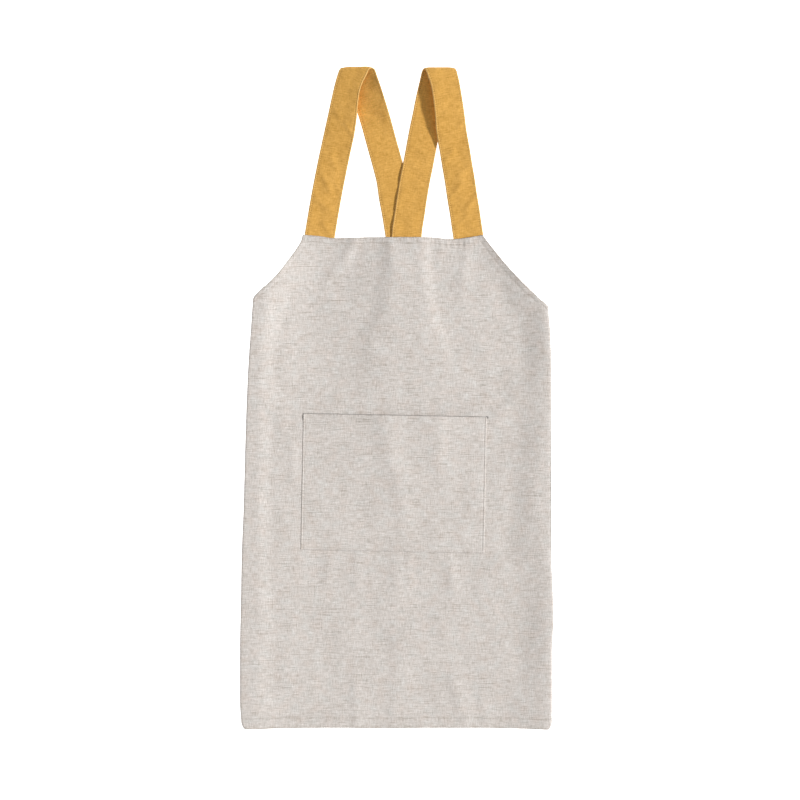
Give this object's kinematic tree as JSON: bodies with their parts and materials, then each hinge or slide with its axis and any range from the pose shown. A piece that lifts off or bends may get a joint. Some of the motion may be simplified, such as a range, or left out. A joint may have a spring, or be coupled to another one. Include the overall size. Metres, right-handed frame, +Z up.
{
  "type": "canvas apron",
  "caption": "Cross-back canvas pinafore apron laid flat, with a bib, a wide patch pocket, soft side folds and shoulder straps that loop over and cross behind the bib.",
  "frame": {"origin": "on the floor under the middle of the whole apron, straps included", "axes": "+Z up from the floor through the front of the apron, +Y from the hem to the straps, +X to the right of the front as it is looked at"},
  "size_m": [0.4794, 1.0113, 0.024],
  "materials": {
    "body_canvas": "matte heathered greige linen-look canvas",
    "strap_canvas": "matte mustard canvas, folded double and edge-stitched"
  },
  "bodies": {
    "root": {"apron_body": "body_canvas", "front_pocket": "body_canvas", "shoulder_strap_left": "strap_canvas", "shoulder_strap_right": "strap_canvas"}
  },
  "joints": []
}
